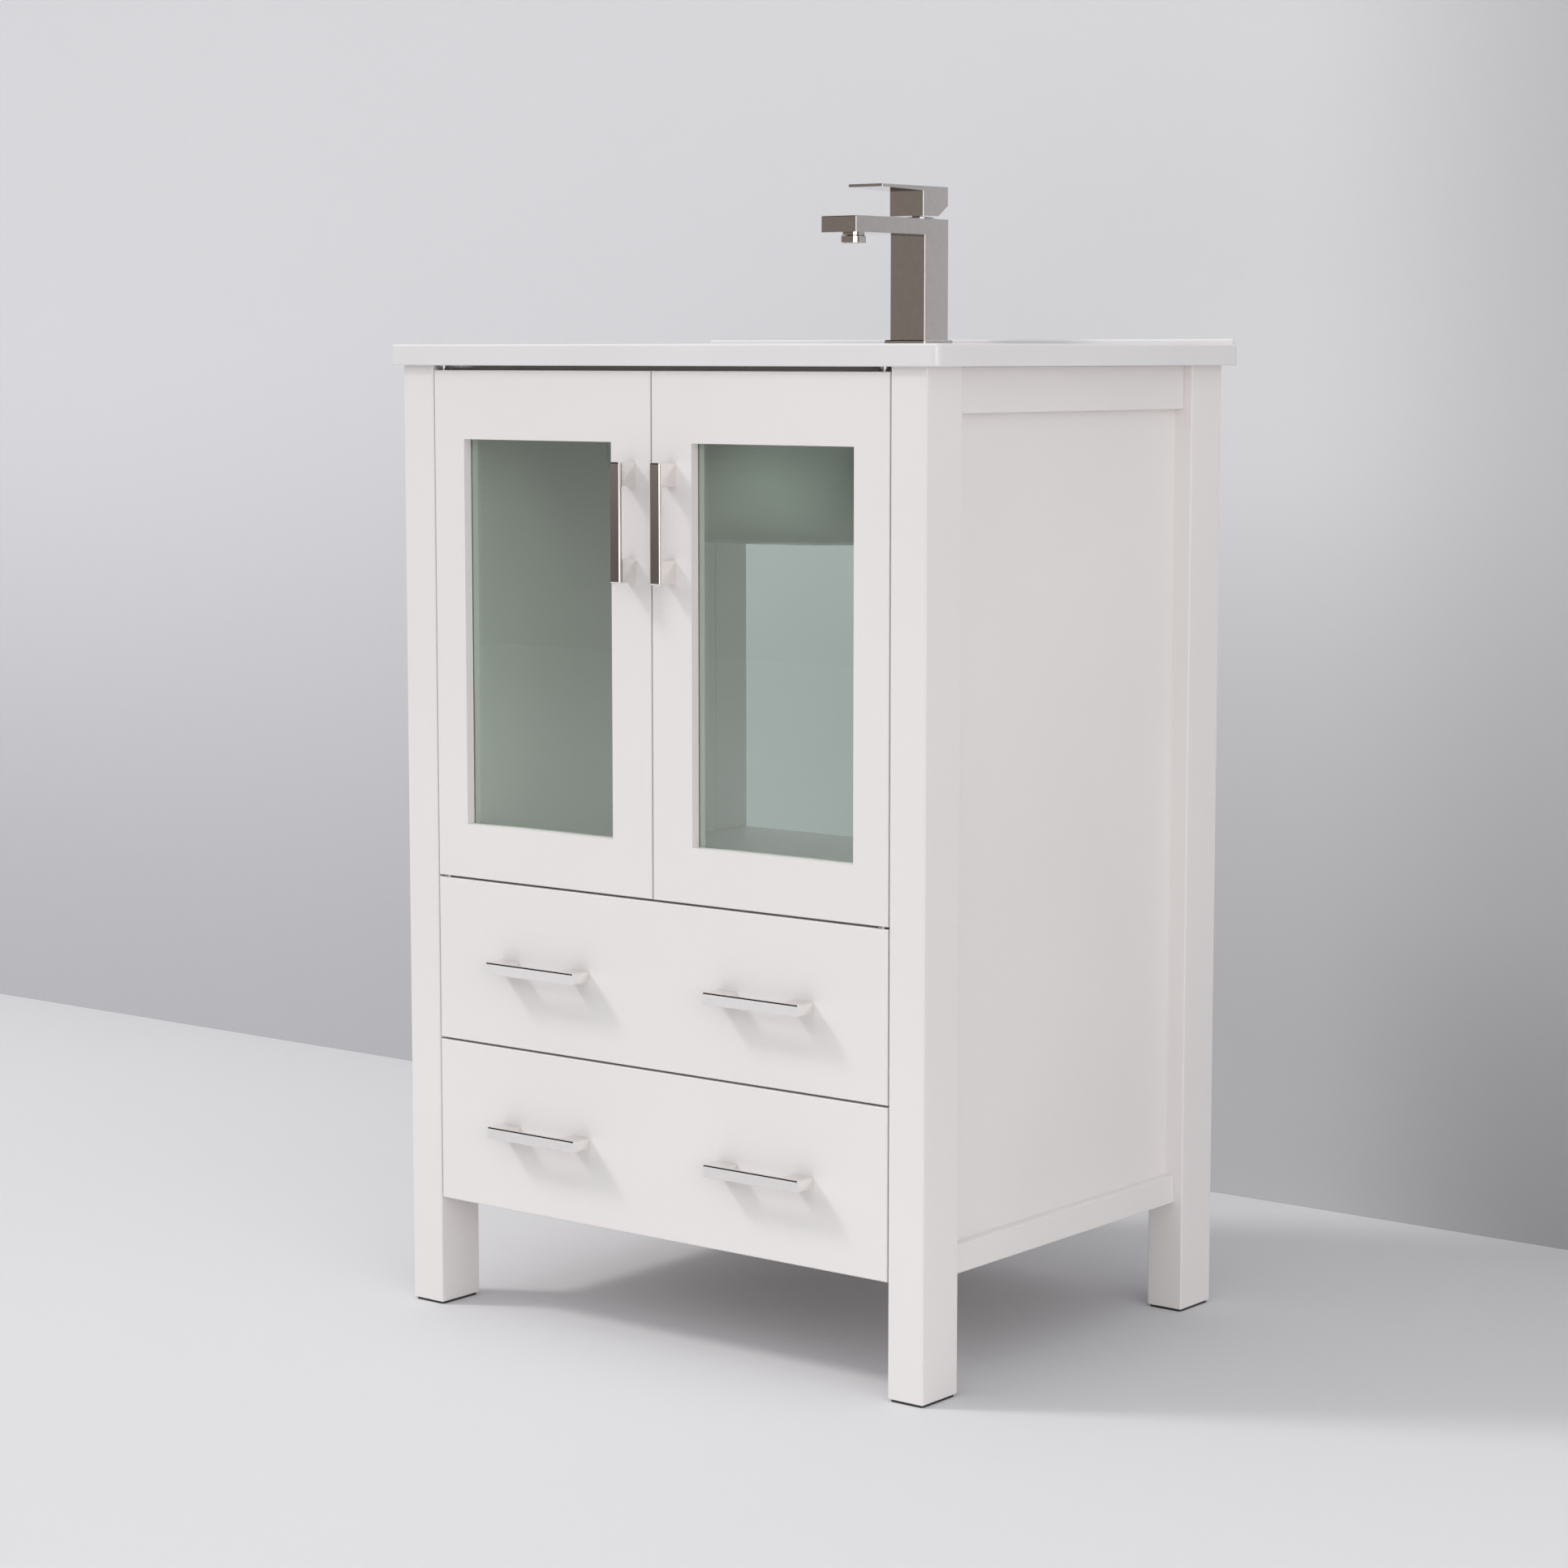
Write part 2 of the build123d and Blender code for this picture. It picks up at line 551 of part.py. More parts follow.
for side_name, x_side in (("left", -1), ("right", 1)):
    with BuildPart() as hinge_stile:
        add(stile(x_side, GLASS_X1, FRONT_HALF, GLASS_X1 + REBATE, FRONT_HALF, GLASS_X1).part)
        for hole_z, hole_way in ((DOOR_TOP_Z, 1), (DOOR_Z0, -1)):
            with Locations(Plane((x_side * PIVOT_X, PIVOT_Y, hole_z), (1, 0, 0), (0, 0, hole_way))):
                Hole(PIN_R + PIN_FIT, PIN_HOLE)
    save(hinge_stile, f"{side_name}_door_hinge_stile")

    near_edge = MEETING_SEAM / 2
    meeting_stile = stile(x_side, near_edge, GLASS_X0, near_edge, GLASS_X0 - REBATE, GLASS_X0)
    save(meeting_stile, f"{side_name}_door_meeting_stile")

    top_rail = rail(x_side, GLASS_Z1, DOOR_TOP_Z, GLASS_Z1 + REBATE, DOOR_TOP_Z, -1)
    save(top_rail, f"{side_name}_door_top_rail")
    bottom_rail = rail(x_side, DOOR_Z0, GLASS_Z0, DOOR_Z0, GLASS_Z0 - REBATE, 0)
    save(bottom_rail, f"{side_name}_door_bottom_rail")

    pane_near = GLASS_X0 - REBATE + GLASS_PLAY
    pane_far = GLASS_X1 + REBATE - GLASS_PLAY
    pane_x0, pane_x1 = span(x_side * pane_near, x_side * pane_far)
    pane_y = FACE_Y + GLASS_RECESS
    pane = board(
        pane_x0, pane_x1, pane_y, pane_y + GLASS_T,
        GLASS_Z0 - REBATE + GLASS_PLAY, GLASS_Z1 + REBATE - GLASS_PLAY, GLASS_EASE,
    )
    save(pane, f"{side_name}_door_glass")
    save(glass_beads(x_side), f"{side_name}_door_glass_beads")

    with BuildPart() as door_handle:
        add_pull(Plane((x_side * HANDLE_X, FACE_Y, DOOR_HANDLE_Z), (0, 0, 1), (-1, 0, 0)))
        soften_pull(door_handle)
    save(door_handle, f"{side_name}_door_handle")

    strike_x0, strike_x1 = span(x_side * (CATCH_X0 + STRIKE_INSET), x_side * (CATCH_X1 - STRIKE_INSET))
    strike_y = FACE_Y + FRONT_T
    strike = board(
        strike_x0, strike_x1, strike_y, strike_y + STRIKE_T,
        FRONT_RAIL_Z - CATCH_H + STRIKE_INSET_Z, FRONT_RAIL_Z - STRIKE_INSET_Z, STRIKE_EASE,
    )
    save(strike, f"{side_name}_door_strike")

# ---------------------------------------------------------------- drawers
DRAWER_HANDLE_X = 125.5
BOX_HALF = OPEN_HALF - RUNNER_GAP
BOX_IN = BOX_HALF - BOX_WALL
BOX_Y0 = FACE_Y + FRONT_T
BASE_T = 6.0
BASE_LIFT = 8.0
BASE_EASE = 0.3
GROOVE = 5.0
GROOVE_FIT = 0.1
BOX_SOFT = 1.5
BACK_DROP = 6.0          # drawer back below the sides' top edges


def add_groove(x0, x1, y0, y1, base_z):
    """Cut the groove that takes the drawer bottom."""
    add_board(x0, x1, y0, y1, base_z - GROOVE_FIT, base_z + BASE_T + GROOVE_FIT, Mode.SUBTRACT)


CHANNEL_T = 1.2
CHANNEL_DEEP = 10.0
CHANNEL_LIP = 4.0
SLIDE_BAR_H = 14.0
SLIDE_BAR_GAP = 4.0
SLIDE_BAR_X = OPEN_HALF - SLIDE_BAR_GAP
SLIDE_SHORT = 4.0        # sliding member shorter than the channel
SLIDE_WEB_T = 1.5
SLIDE_WEB_H = 24.0


def add_channel(x_side, z_mid):
    """Add a lipped channel, open towards the drawer, against a cabinet side."""
    wall = x_side * OPEN_HALF
    inner = wall - x_side * CHANNEL_DEEP
    half = RUNNER_H / 2
    y1 = RUNNER_Y0 + RUNNER_D
    web_x0, web_x1 = span(wall, wall - x_side * CHANNEL_T)
    flange_x0, flange_x1 = span(wall, inner)
    lip_x0, lip_x1 = span(inner, inner + x_side * CHANNEL_T)
    add_board(web_x0, web_x1, RUNNER_Y0, y1, z_mid - half, z_mid + half)
    for up in (-1, 1):
        z0, z1 = span(z_mid + up * half, z_mid + up * (half - CHANNEL_T))
        add_board(flange_x0, flange_x1, RUNNER_Y0, y1, z0, z1)
        z0, z1 = span(z_mid + up * half, z_mid + up * (half - CHANNEL_T - CHANNEL_LIP))
        add_board(lip_x0, lip_x1, RUNNER_Y0, y1, z0, z1)


def add_slide_bar(x_side, z_mid):
    """Add the member that is screwed to a drawer side and slides in the channel."""
    y1 = RUNNER_Y0 + RUNNER_D - SLIDE_SHORT
    web_x0, web_x1 = span(x_side * BOX_HALF, x_side * (BOX_HALF + SLIDE_WEB_T))
    bar_x0, bar_x1 = span(x_side * (BOX_HALF + SLIDE_WEB_T), x_side * SLIDE_BAR_X)
    add_board(web_x0, web_x1, RUNNER_Y0, y1, z_mid - SLIDE_WEB_H / 2, z_mid + SLIDE_WEB_H / 2)
    add_board(bar_x0, bar_x1, RUNNER_Y0, y1, z_mid - SLIDE_BAR_H / 2, z_mid + SLIDE_BAR_H / 2)


with BuildPart() as cabinet_runners:
    for _, front_z0, _ in DRAWERS:
        for x_side in (-1, 1):
            add_channel(x_side, runner_z(front_z0))
    for _, front_z0, _ in DRAWERS:
        for x_side in (-1, 1):
            for screw_y in RUNNER_SCREWS_Y:
                web_face = x_side * (OPEN_HALF - CHANNEL_T)
                with Locations(Plane((web_face, screw_y, runner_z(front_z0)), (0, 1, 0), (-x_side, 0, 0))):
                    Hole(RUNNER_SCREW_R + SCREW_FIT, 2 * CHANNEL_T)
save(cabinet_runners, "cabinet_runners")

RUNNER_HEAD_R = 3.2
RUNNER_HEAD_T = 1.4

with BuildPart() as runner_screws:
    for _, front_z0, _ in DRAWERS:
        for x_side in (-1, 1):
            for screw_y in RUNNER_SCREWS_Y:
                head_x = x_side * (OPEN_HALF - CHANNEL_T)
                seat = Plane((head_x, screw_y, runner_z(front_z0)), (0, 1, 0), (x_side, 0, 0))
                with BuildSketch(seat):
                    Circle(RUNNER_SCREW_R)
                extrude(amount=RUNNER_SCREW_LONG)
                with BuildSketch(seat):
                    Circle(RUNNER_HEAD_R)
                extrude(amount=-RUNNER_HEAD_T)
save(runner_screws, "runner_screws")

for name, front_z0, front_z1 in DRAWERS:
    box_z0 = front_z0 + BOX_LIFT
    box_z1 = box_z0 + BOX_H
    base_z = box_z0 + BASE_LIFT
    box_y1 = BOX_Y0 + BOX_D

    with BuildPart() as drawer_front:
        add_board(-FRONT_HALF, FRONT_HALF, FACE_Y, FACE_Y + FRONT_T, front_z0, front_z1)
        fillet(front_edges(drawer_front), FRONT_SOFT)
        groove_half = BOX_IN + GROOVE + GROOVE_FIT
        add_groove(-groove_half, groove_half, BOX_Y0 - GROOVE - GROOVE_FIT, BOX_Y0, base_z)
    save(drawer_front, f"{name}_front")

    with BuildPart() as drawer_sides:
        for x_side in (-1, 1):
            x0, x1 = span(x_side * BOX_IN, x_side * BOX_HALF)
            add_board(x0, x1, BOX_Y0, box_y1, box_z0, box_z1)
            x0, x1 = span(x_side * BOX_IN, x_side * (BOX_IN + GROOVE + GROOVE_FIT))
            add_groove(x0, x1, BOX_Y0, box_y1, base_z)
        fillet(drawer_sides.edges().group_by(Axis.Z)[-1].filter_by(Axis.Y), BOX_SOFT)
    save(drawer_sides, f"{name}_sides")

    with BuildPart() as drawer_back:
        back_z0 = base_z + BASE_T + GROOVE_FIT
        add_board(-BOX_IN, BOX_IN, box_y1 - BOX_WALL, box_y1, back_z0, box_z1 - BACK_DROP)
        fillet(drawer_back.edges().group_by(Axis.Z)[-1].filter_by(Axis.X), BOX_SOFT)
    save(drawer_back, f"{name}_back")

    base_half = BOX_IN + GROOVE
    drawer_bottom = board(-base_half, base_half, BOX_Y0 - GROOVE, box_y1, base_z, base_z + BASE_T, BASE_EASE)
    save(drawer_bottom, f"{name}_bottom")

    with BuildPart() as drawer_handles:
        for x_side in (-1, 1):
            add_pull(Plane((x_side * DRAWER_HANDLE_X, FACE_Y, (front_z0 + front_z1) / 2)))
        soften_pull(drawer_handles)
    save(drawer_handles, f"{name}_handles")

    with BuildPart() as drawer_runners:
        for x_side in (-1, 1):
            add_slide_bar(x_side, runner_z(front_z0))
    save(drawer_runners, f"{name}_runners")

# ---------------------------------------------------------------- faucet
BASE_PLATE_W = 47.3
BASE_PLATE_D = 45.3
BASE_PLATE_T = 4.3
BASE_PLATE_Y = FACE_Y + 384.9
BASE_PLATE_CORNER = 2.0
BASE_PLATE_HOLE_R = 14.5
COLUMN_W = 40.0
COLUMN_D = 37.4
SPOUT_TIP_Y = FACE_Y + 262.3
SPOUT_TOP_Z = TOP_Z + 115.5
SPOUT_T = 14.7
COLUMN_BACK_Y = FAUCET_Y + COLUMN_D / 2
FAUCET_SOFT = 1.2        # radius of upright edges
FAUCET_TOP_SOFT = 0.8
BORE_R = 15.5
BORE_DEPTH = 56.0
AERATOR_R = 11.4
AERATOR_H = 9.3
AERATOR_WALL = 2.2
AERATOR_SUNK = 3.0       # depth of the hollow below the screen
AERATOR_NECK_IN = 1.4    # neck under the spout, smaller than the body
AERATOR_NECK_H = 2.0
AERATOR_EASE = 0.4
AERATOR_Y = FACE_Y + 284.3

with BuildPart() as faucet_base_plate:
    with BuildSketch(Plane.XY.offset(TOP_Z)):
        with Locations((0, BASE_PLATE_Y)):
            RectangleRounded(BASE_PLATE_W, BASE_PLATE_D, BASE_PLATE_CORNER)
        with Locations((0, FAUCET_Y)):
            Circle(BASE_PLATE_HOLE_R, mode=Mode.SUBTRACT)
    extrude(amount=BASE_PLATE_T)
    chamfer(faucet_base_plate.edges().group_by(Axis.Z)[-1].filter_by(GeomType.LINE), FAUCET_TOP_SOFT)
save(faucet_base_plate, "faucet_base_plate")

COLUMN_Z0 = TOP_Z + BASE_PLATE_T
STUD_R = 4.0
STUD_IN = 12.0

with BuildPart() as faucet_body:
    add_board(
        -COLUMN_W / 2, COLUMN_W / 2, COLUMN_BACK_Y - COLUMN_D, COLUMN_BACK_Y, COLUMN_Z0, SPOUT_TOP_Z,
    )
    add_board(
        -COLUMN_W / 2, COLUMN_W / 2, SPOUT_TIP_Y, COLUMN_BACK_Y, SPOUT_TOP_Z - SPOUT_T, SPOUT_TOP_Z,
    )
    fillet(faucet_body.edges().filter_by(Axis.Z), FAUCET_SOFT)
    fillet(faucet_body.edges().group_by(Axis.Z)[-1], FAUCET_TOP_SOFT)
    with Locations((0, FAUCET_Y, SPOUT_TOP_Z)):
        Hole(BORE_R, BORE_DEPTH)
    with Locations(Plane((0, FAUCET_Y, COLUMN_Z0), (1, 0, 0), (0, 0, -1))):
        Hole(STUD_R + SCREW_FIT, STUD_IN)
save(faucet_body, "faucet_body")

with BuildPart() as faucet_aerator:
    with BuildSketch(Plane.YZ):
        with BuildLine():
            spout_under = SPOUT_TOP_Z - SPOUT_T
            mouth = spout_under - AERATOR_H
            neck_z = spout_under - AERATOR_NECK_H
            outer_y = AERATOR_Y + AERATOR_R
            Polyline(
                (AERATOR_Y, spout_under),
                (AERATOR_Y, mouth + AERATOR_SUNK),
                (outer_y - AERATOR_WALL, mouth + AERATOR_SUNK),
                (outer_y - AERATOR_WALL, mouth),
                (outer_y, mouth),
                (outer_y, neck_z - AERATOR_NECK_IN),
                (outer_y - AERATOR_NECK_IN, neck_z),
                (outer_y - AERATOR_NECK_IN, spout_under),
                close=True,
            )
        make_face()
    revolve(axis=Axis((0, AERATOR_Y, 0), (0, 0, 1)))
    chamfer(faucet_aerator.edges().group_by(Axis.Z)[0], AERATOR_EASE)
save(faucet_aerator, "faucet_aerator")

CARTRIDGE_R = 14.9
CARTRIDGE_EASE = 1.0
CARTRIDGE_GAP = 0.4      # between the cartridge and the turning stem
PIVOT_Z = TOP_Z + 124.0
COLLAR_R = 14.0
COLLAR_TOP_Z = TOP_Z + 117.2
COLLAR_Z0 = TOP_Z + 104.0
COLLAR_EASE = 0.6
LIFT_PIN_R = 1.75
LIFT_PIN_HALF = 14.0
EYE_R = 4.0
EYE_W = 9.0
NECK_FRONT = 5.5         # neck of the stem, ahead of its axis
NECK_BACK = 1.0

with BuildPart() as faucet_cartridge:
    with BuildSketch(Plane.XY.offset(SPOUT_TOP_Z - BORE_DEPTH)):
        with Locations((0, FAUCET_Y)):
            Circle(CARTRIDGE_R)
    extrude(amount=COLLAR_Z0 - CARTRIDGE_GAP - (SPOUT_TOP_Z - BORE_DEPTH))
    chamfer(faucet_cartridge.edges().group_by(Axis.Z)[-1], CARTRIDGE_EASE)
save(faucet_cartridge, "faucet_cartridge")

with BuildPart() as faucet_stem:
    with BuildSketch(Plane.XY.offset(COLLAR_Z0)):
        with Locations((0, FAUCET_Y)):
            Circle(COLLAR_R)
    extrude(amount=COLLAR_TOP_Z - COLLAR_Z0)
    chamfer(faucet_stem.edges().group_by(Axis.Z)[-1], COLLAR_EASE)
    add_board(
        -EYE_W / 2, EYE_W / 2, FAUCET_Y - NECK_FRONT, FAUCET_Y - NECK_BACK, COLLAR_TOP_Z - OVERLAP, PIVOT_Z,
    )
    with BuildSketch(Plane.YZ):
        with Locations((FAUCET_Y, PIVOT_Z)):
            Circle(EYE_R)
    extrude(amount=EYE_W / 2, both=True)
    with BuildSketch(Plane.YZ):
        with Locations((FAUCET_Y, PIVOT_Z)):
            Circle(LIFT_PIN_R)
    extrude(amount=LIFT_PIN_HALF, both=True)
save(faucet_stem, "faucet_stem")

LEVER_W = 39.0
LEVER_TIP_Y = FACE_Y + 302.0
LEVER_BLOCK_Y = FACE_Y + 365.0
LEVER_TOP_Z = TOP_Z + 145.2
LEVER_TIP_T = 2.6
LEVER_ROOT_T = 4.3
LEVER_UNDER_Z = TOP_Z + 118.0
LEVER_CUT_Y = 16.0
LEVER_CUT_Z = 10.4
LEVER_SOFT = 1.2
LEVER_TOP_SOFT = 0.5
POCKET_FIT = 0.6         # lever's pocket past the stem's eye
POCKET_D = 8.4
POCKET_FRONT = 2.2       # middle of the pocket ahead of the stem's axis
POCKET_SIDE = 0.5
PIN_HOLE_SPARE = 0.5

with BuildPart() as faucet_lever:
    with BuildSketch(Plane.YZ):
        with BuildLine():
            Polyline(
                (LEVER_BLOCK_Y, LEVER_UNDER_Z),
                (LEVER_BLOCK_Y, LEVER_TOP_Z - LEVER_ROOT_T),
                (LEVER_TIP_Y, LEVER_TOP_Z - LEVER_TIP_T),
                (LEVER_TIP_Y, LEVER_TOP_Z),
                (COLUMN_BACK_Y, LEVER_TOP_Z),
                (COLUMN_BACK_Y, LEVER_UNDER_Z + LEVER_CUT_Z),
                (COLUMN_BACK_Y - LEVER_CUT_Y, LEVER_UNDER_Z),
                close=True,
            )
        make_face()
    extrude(amount=LEVER_W / 2, both=True)
    fillet(faucet_lever.edges().filter_by(Axis.Z), LEVER_SOFT)
    fillet(faucet_lever.edges().group_by(Axis.Z)[-1], LEVER_TOP_SOFT)
    # pocket for the stem's eye, open below
    with BuildSketch(Plane.YZ):
        with Locations((FAUCET_Y, PIVOT_Z)):
            Circle(EYE_R + POCKET_FIT)
        with Locations((FAUCET_Y - POCKET_FRONT, (PIVOT_Z + LEVER_UNDER_Z - OVERLAP) / 2)):
            Rectangle(POCKET_D, PIVOT_Z - LEVER_UNDER_Z + OVERLAP)
    extrude(amount=EYE_W / 2 + POCKET_SIDE, both=True, mode=Mode.SUBTRACT)
    # cross hole for the pin, drilled from the left side
    with Locations(Plane((-LEVER_W / 2, FAUCET_Y, PIVOT_Z), (0, 1, 0), (-1, 0, 0))):
        Hole(LIFT_PIN_R + PIN_FIT, LEVER_W / 2 + LIFT_PIN_HALF + PIN_HOLE_SPARE)
save(faucet_lever, "faucet_lever")

STUD_LONG = 62.0
STUD_EASE = 0.6
STUD_GAP = 1.0           # above the stud in the body's hole
CLAMP_R = 22.0
CLAMP_T = 3.0
NUT_R = 7.0
NUT_T = 7.0

with BuildPart() as faucet_mounting_stud:
    with BuildSketch(Plane.XY.offset(COLUMN_Z0 + STUD_IN - STUD_GAP)):
        with Locations((0, FAUCET_Y)):
            Circle(STUD_R)
    extrude(amount=-STUD_LONG)
    chamfer(faucet_mounting_stud.edges(), STUD_EASE)
save(faucet_mounting_stud, "faucet_mounting_stud")

with BuildPart() as faucet_mounting_nut:
    with BuildSketch(Plane.XY.offset(TOP_UNDER)):
        with Locations((0, FAUCET_Y)):
            Circle(CLAMP_R)
    extrude(amount=-CLAMP_T)
    with BuildSketch(Plane.XY.offset(TOP_UNDER - CLAMP_T)):
        with Locations((0, FAUCET_Y)):
            RegularPolygon(NUT_R, 6)
    extrude(amount=-NUT_T)
    with Locations(Plane((0, FAUCET_Y, TOP_UNDER), (1, 0, 0), (0, 0, 1))):
        Hole(STUD_R + SCREW_FIT, CLAMP_T + NUT_T)
save(faucet_mounting_nut, "faucet_mounting_nut")

# ---------------------------------------------------------------- overflow ring
RING_FIT = 0.2
RING_W = 2.2
RING_HALF = 3.0
RING_IN = 3.4            # middle of the ring ahead of the hollow's widest line

with BuildPart() as overflow_ring:
    with BuildSketch(Plane.XZ.offset(-(BOWL_BACK_Y - RING_IN))):
        with Locations((0, OVERFLOW_Z)):
            Circle(OVERFLOW_R - RING_FIT)
            Circle(OVERFLOW_R - RING_FIT - RING_W, mode=Mode.SUBTRACT)
    extrude(amount=RING_HALF, both=True)
save(overflow_ring, "overflow_ring")
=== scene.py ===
"""Looks of a white bathroom vanity: lacquer, ceramic, chrome, tinted glass and drawer
boxes in birch plywood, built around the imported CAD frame.  Metres, Z up, front at -Y.
"""
import json
import math

import bpy
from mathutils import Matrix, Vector


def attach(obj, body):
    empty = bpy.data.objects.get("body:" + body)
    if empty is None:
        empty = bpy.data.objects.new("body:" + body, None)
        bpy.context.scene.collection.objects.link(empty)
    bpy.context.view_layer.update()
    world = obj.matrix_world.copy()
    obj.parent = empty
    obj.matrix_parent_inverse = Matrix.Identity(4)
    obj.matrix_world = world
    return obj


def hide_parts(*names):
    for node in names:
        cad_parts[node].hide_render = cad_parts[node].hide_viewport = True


MM = 0.001

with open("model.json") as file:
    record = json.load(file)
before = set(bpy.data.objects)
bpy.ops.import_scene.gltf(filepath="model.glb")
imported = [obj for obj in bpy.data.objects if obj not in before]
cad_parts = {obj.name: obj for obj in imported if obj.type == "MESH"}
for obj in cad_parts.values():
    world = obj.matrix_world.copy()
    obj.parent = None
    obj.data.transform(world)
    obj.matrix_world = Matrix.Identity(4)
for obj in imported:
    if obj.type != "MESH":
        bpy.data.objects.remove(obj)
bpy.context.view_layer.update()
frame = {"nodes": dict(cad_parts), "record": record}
record = frame["record"]
slot_of = {row["node"]: row["material_slot"] for row in record["subparts"]}
body_of = {node: body for body, nodes in record["behaviour"]["bodies"].items() for node in nodes}


# ---------------------------------------------------------------- stage and camera
CAMERA_PLACE = (2.0597, -2.6311, 0.8698)
CAMERA_TURN = (math.radians(90 - 6.635), 0.0, math.radians(38.41))
WALL_Y = 0.617
STAGE_HALF = 6.0


def camera_at(place, turn):
    """The one camera, with an 85 mm portrait lens on a full-frame sensor."""
    lens = bpy.data.cameras.new("portrait_lens")
    lens.lens = 85.0
    lens.sensor_width = 36.0
    lens.clip_end = 100.0
    camera = bpy.data.objects.new("camera", lens)
    camera.location = place
    camera.rotation_euler = turn
    bpy.context.collection.objects.link(camera)
    bpy.context.scene.camera = camera


camera_at(CAMERA_PLACE, CAMERA_TURN)


# ---------------------------------------------------------------- materials
def linear(code):
    """sRGB hex to linear RGBA."""
    values = [int(code[i:i + 2], 16) / 255 for i in (1, 3, 5)]
    return [v / 12.92 if v <= 0.04045 else ((v + 0.055) / 1.055) ** 2.4 for v in values] + [1.0]


def add_node(tree, kind, settings=None, **sockets):
    """Add one node: settings are its properties, sockets are input values or the outputs that feed them."""
    node = tree.nodes.new("ShaderNode" + kind)
    for name, value in (settings or {}).items():
        setattr(node, name, value)
    for name, value in sockets.items():
        socket = node.inputs[name.replace("_", " ")]
        if isinstance(value, bpy.types.NodeSocket):
            tree.links.new(value, socket)
        else:
            socket.default_value = value
    return node


def blank(name):
    """A material with only its output, and the tree to build in."""
    material = bpy.data.materials.new(name)
    material.use_nodes = True
    tree = material.node_tree
    tree.nodes.clear()
    return material, tree


def finish_surface(tree, shader):
    """Send the finished shader to the material's output."""
    output = add_node(tree, "OutputMaterial")
    tree.links.new(shader, output.inputs["Surface"])


def tones(tree, driver, low, high, start=0.3, end=0.7):
    """Colour that drifts between two hex tones as the driver goes from start to end."""
    ramp = add_node(tree, "ValToRGB", Fac=driver)
    ramp.color_ramp.elements[0].position = start
    ramp.color_ramp.elements[1].position = end
    ramp.color_ramp.elements[0].color = linear(low)
    ramp.color_ramp.elements[1].color = linear(high)
    return ramp.outputs["Color"]


def spread(tree, driver, low, high):
    """A number that goes from low to high as the driver goes from 0.3 to 0.7."""
    drift = add_node(
        tree, "MapRange", {"clamp": True},
        Value=driver, From_Min=0.3, From_Max=0.7, To_Min=low, To_Max=high,
    )
    return drift.outputs["Result"]


def place(tree, scale=(1, 1, 1)):
    """Object coordinates in metres, stretched by scale."""
    coords = add_node(tree, "TexCoord")
    return add_node(tree, "Mapping", Vector=coords.outputs["Object"], Scale=scale).outputs["Vector"]


def satin_lacquer():
    """Polyurethane lacquer, sprayed satin over fibreboard: an even warm white with a soft
    sheen, faint clouds from the gun and a fine orange peel about 2.5 mm across."""
    material, tree = blank("satin_white_lacquer")
    where = place(tree)
    cloud = add_node(tree, "TexNoise", Vector=where, Scale=1 / (260 * MM), Detail=2.0).outputs["Fac"]
    peel = add_node(tree, "TexNoise", Vector=where, Scale=1 / (2.5 * MM), Detail=1.0).outputs["Fac"]
    skin = add_node(tree, "Bump", Height=peel, Strength=0.12, Distance=0.05 * MM)
    shader = add_node(
        tree, "BsdfPrincipled",
        Base_Color=tones(tree, cloud, "#E9E5E3", "#ECE8E6"),
        Roughness=spread(tree, cloud, 0.36, 0.42),
        Normal=skin.outputs["Normal"],
        IOR=1.48,
    )
    finish_surface(tree, shader.outputs["BSDF"])
    return material


def glazed_ceramic():
    """Vitreous china under a clear glaze: cool white, mirror-smooth, with a long faint wave
    left by the firing."""
    material, tree = blank("white_glazed_china")
    where = place(tree)
    body = add_node(tree, "TexNoise", Vector=where, Scale=1 / (120 * MM), Detail=3.0).outputs["Fac"]
    wave = add_node(tree, "TexNoise", Vector=where, Scale=1 / (45 * MM), Detail=1.0).outputs["Fac"]
    skin = add_node(tree, "Bump", Height=wave, Strength=0.25, Distance=0.15 * MM)
    shader = add_node(
        tree, "BsdfPrincipled",
        Base_Color=tones(tree, body, "#E4E1E1", "#E7E5E5"),
        Roughness=spread(tree, body, 0.16, 0.2),
        Normal=skin.outputs["Normal"],
        IOR=1.52,
    )
    finish_surface(tree, shader.outputs["BSDF"])
    return material


def polished_chrome(name, low, high):
    """Chrome plate, buffed: a mirror with faint haze, as bright as the tones given."""
    material, tree = blank(name)
    where = place(tree)
    haze = add_node(tree, "TexNoise", Vector=where, Scale=1 / (6 * MM), Detail=4.0).outputs["Fac"]
    buff = add_node(tree, "TexNoise", Vector=where, Scale=1 / (20 * MM), Detail=1.0).outputs["Fac"]
    skin = add_node(tree, "Bump", Height=buff, Strength=0.1, Distance=0.02 * MM)
    shader = add_node(
        tree, "BsdfPrincipled",
        Base_Color=tones(tree, haze, low, high),
        Metallic=1.0,
        Roughness=spread(tree, haze, 0.03, 0.06),
        Normal=skin.outputs["Normal"],
    )
    finish_surface(tree, shader.outputs["BSDF"])
    return material


